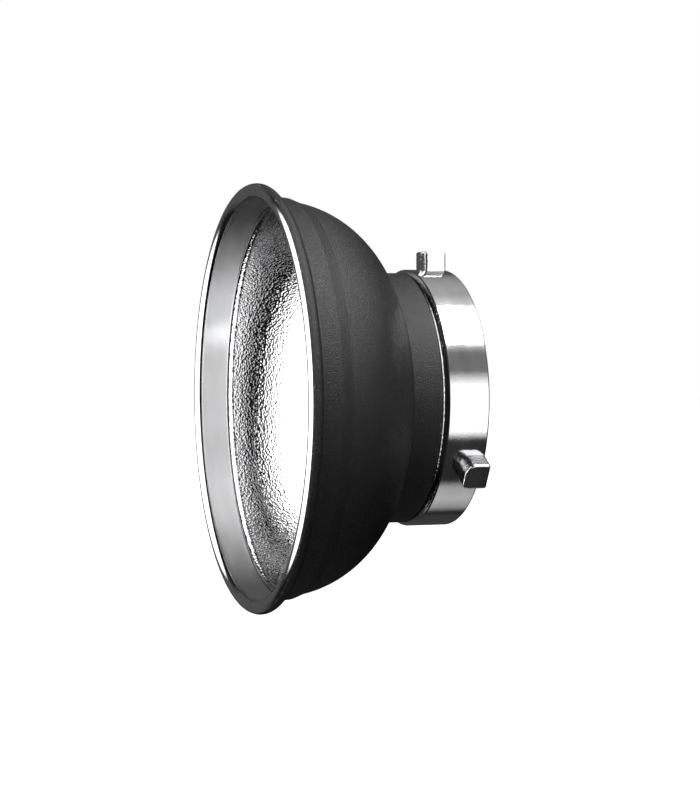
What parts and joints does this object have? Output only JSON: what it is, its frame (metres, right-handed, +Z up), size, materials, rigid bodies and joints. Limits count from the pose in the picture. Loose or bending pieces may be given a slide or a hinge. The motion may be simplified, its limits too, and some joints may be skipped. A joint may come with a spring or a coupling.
{
  "type": "studio flash reflector",
  "caption": "Round spun-metal reflector dish for a studio flash, open at the front, with a rolled rim, a recess for a grid, and a short neck that ends in a bayonet mount ring.",
  "frame": {"origin": "centre of the mount ring's rear face, on the light's axis", "axes": "+Z up with one bayonet lug straight up, +Y along the light's axis from the open mouth to the mount ring, so the light leaves toward -Y"},
  "size_m": [0.18, 0.0878, 0.18],
  "materials": {
    "paint": "fine-grained satin black powder coat",
    "aluminium": "bare, bright and lightly etched",
    "chrome": "bright, with fine turning marks",
    "fastener_steel": "plain zinc-plated"
  },
  "bodies": {
    "root": {"reflector_bowl": "paint", "mount_ring": "chrome", "flange_rivet_1": "aluminium", "flange_rivet_2": "aluminium", "flange_rivet_3": "aluminium", "flange_rivet_4": "aluminium", "flange_rivet_5": "aluminium", "flange_rivet_6": "aluminium", "bayonet_lug_1": "chrome", "lug_washer_1": "fastener_steel", "lug_screw_1": "fastener_steel", "bayonet_lug_2": "chrome", "lug_washer_2": "fastener_steel", "lug_screw_2": "fastener_steel", "bayonet_lug_3": "chrome", "lug_washer_3": "fastener_steel", "lug_screw_3": "fastener_steel"}
  },
  "joints": []
}
